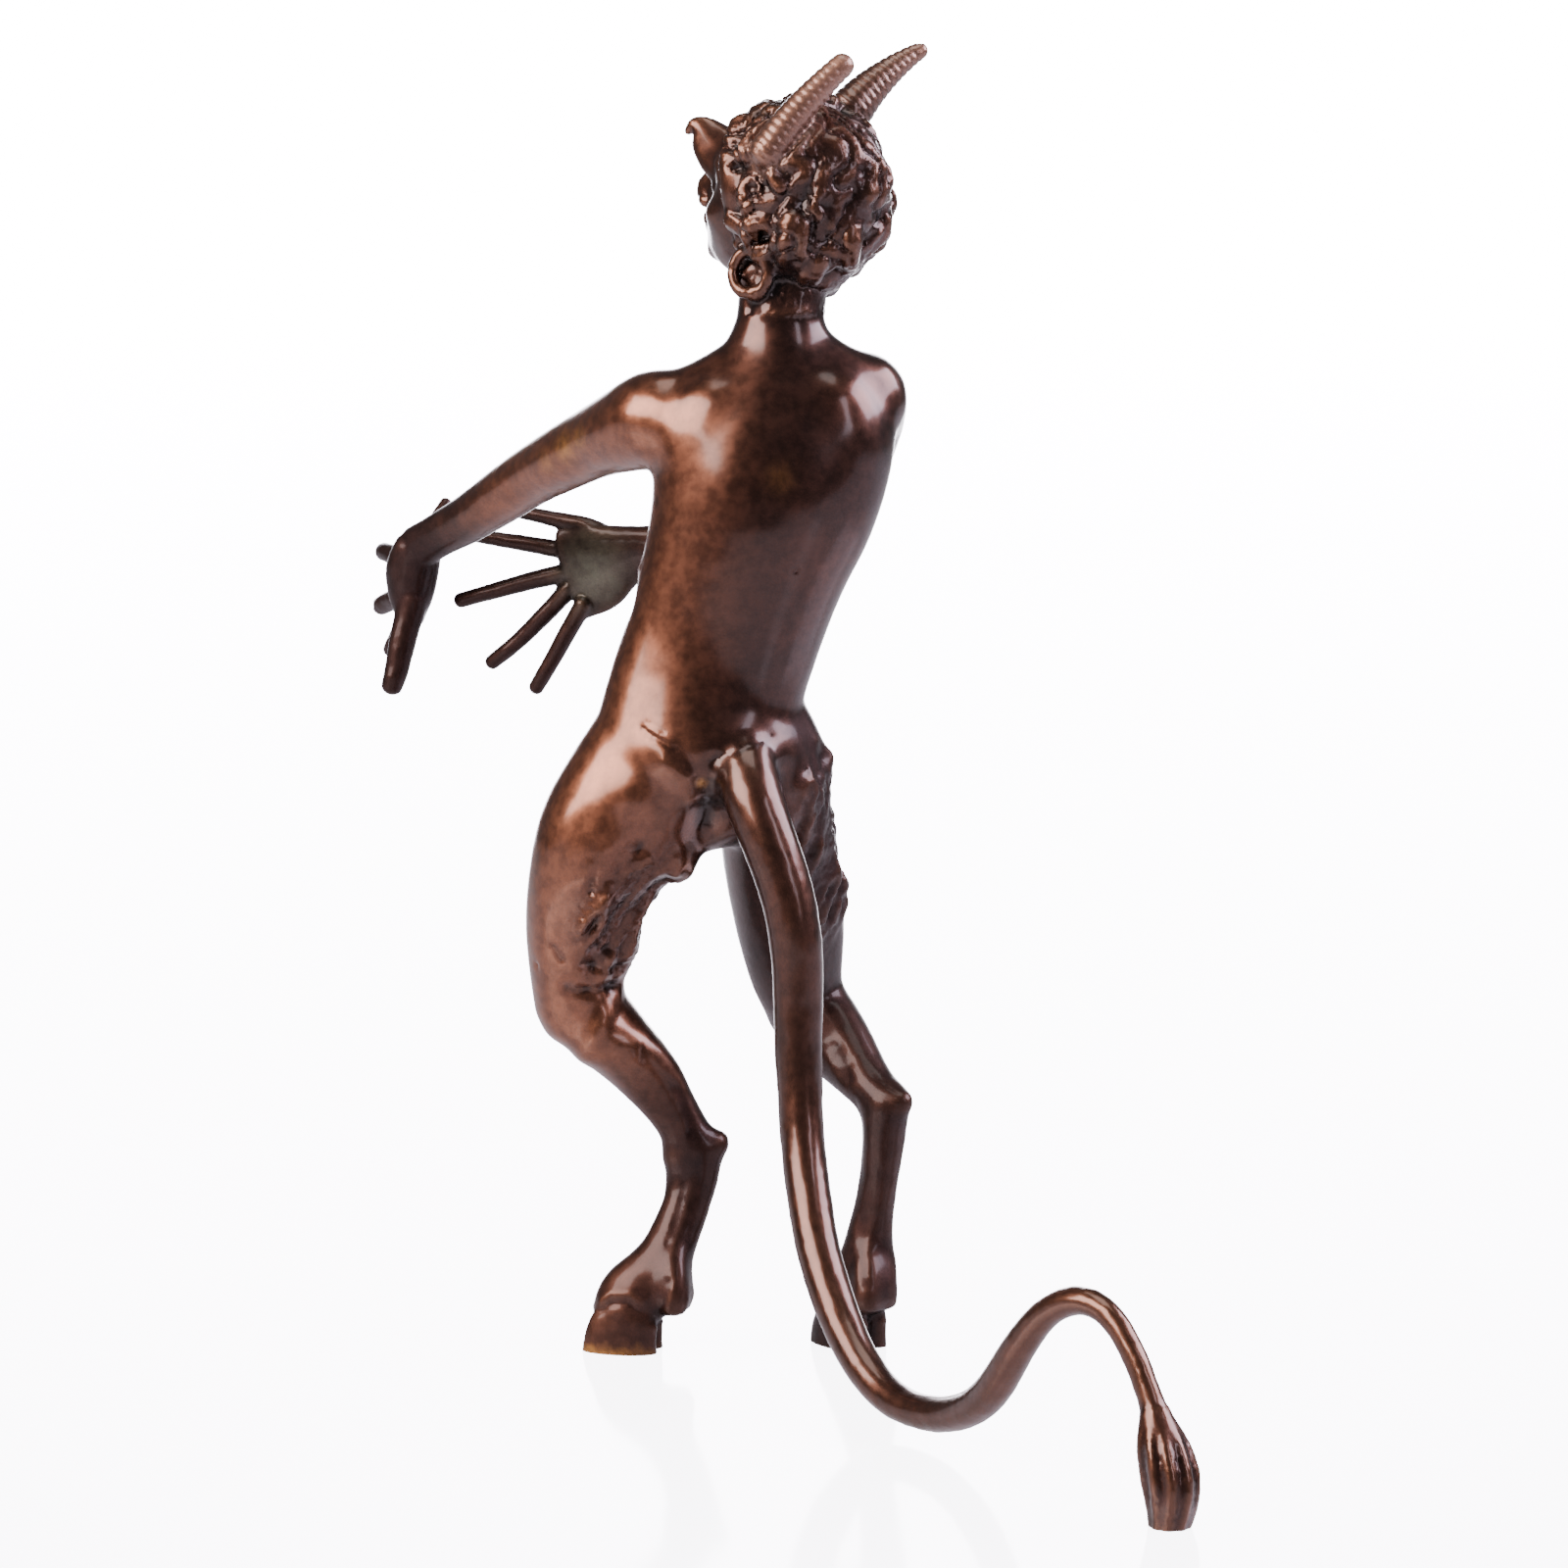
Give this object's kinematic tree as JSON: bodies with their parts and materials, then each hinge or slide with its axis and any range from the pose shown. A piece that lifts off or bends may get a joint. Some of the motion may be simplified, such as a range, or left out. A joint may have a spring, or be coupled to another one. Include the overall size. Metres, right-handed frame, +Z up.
{
  "type": "faun statue",
  "caption": "Small standing faun with ringed horns, reaching arms, goat legs and a long looping tail, resting on its hooves and the tail's tuft.",
  "frame": {"origin": "centre of the bounding box, at the level of the soles", "axes": "+Z up; the figure's back is toward +Y and its own left side toward +X"},
  "size_m": [0.1362, 0.1816, 0.2207],
  "materials": {
    "dark_bronze": "dark brown patinated bronze, satin, brighter on worn high points"
  },
  "bodies": {
    "root": {"faun": "dark_bronze"}
  },
  "joints": []
}
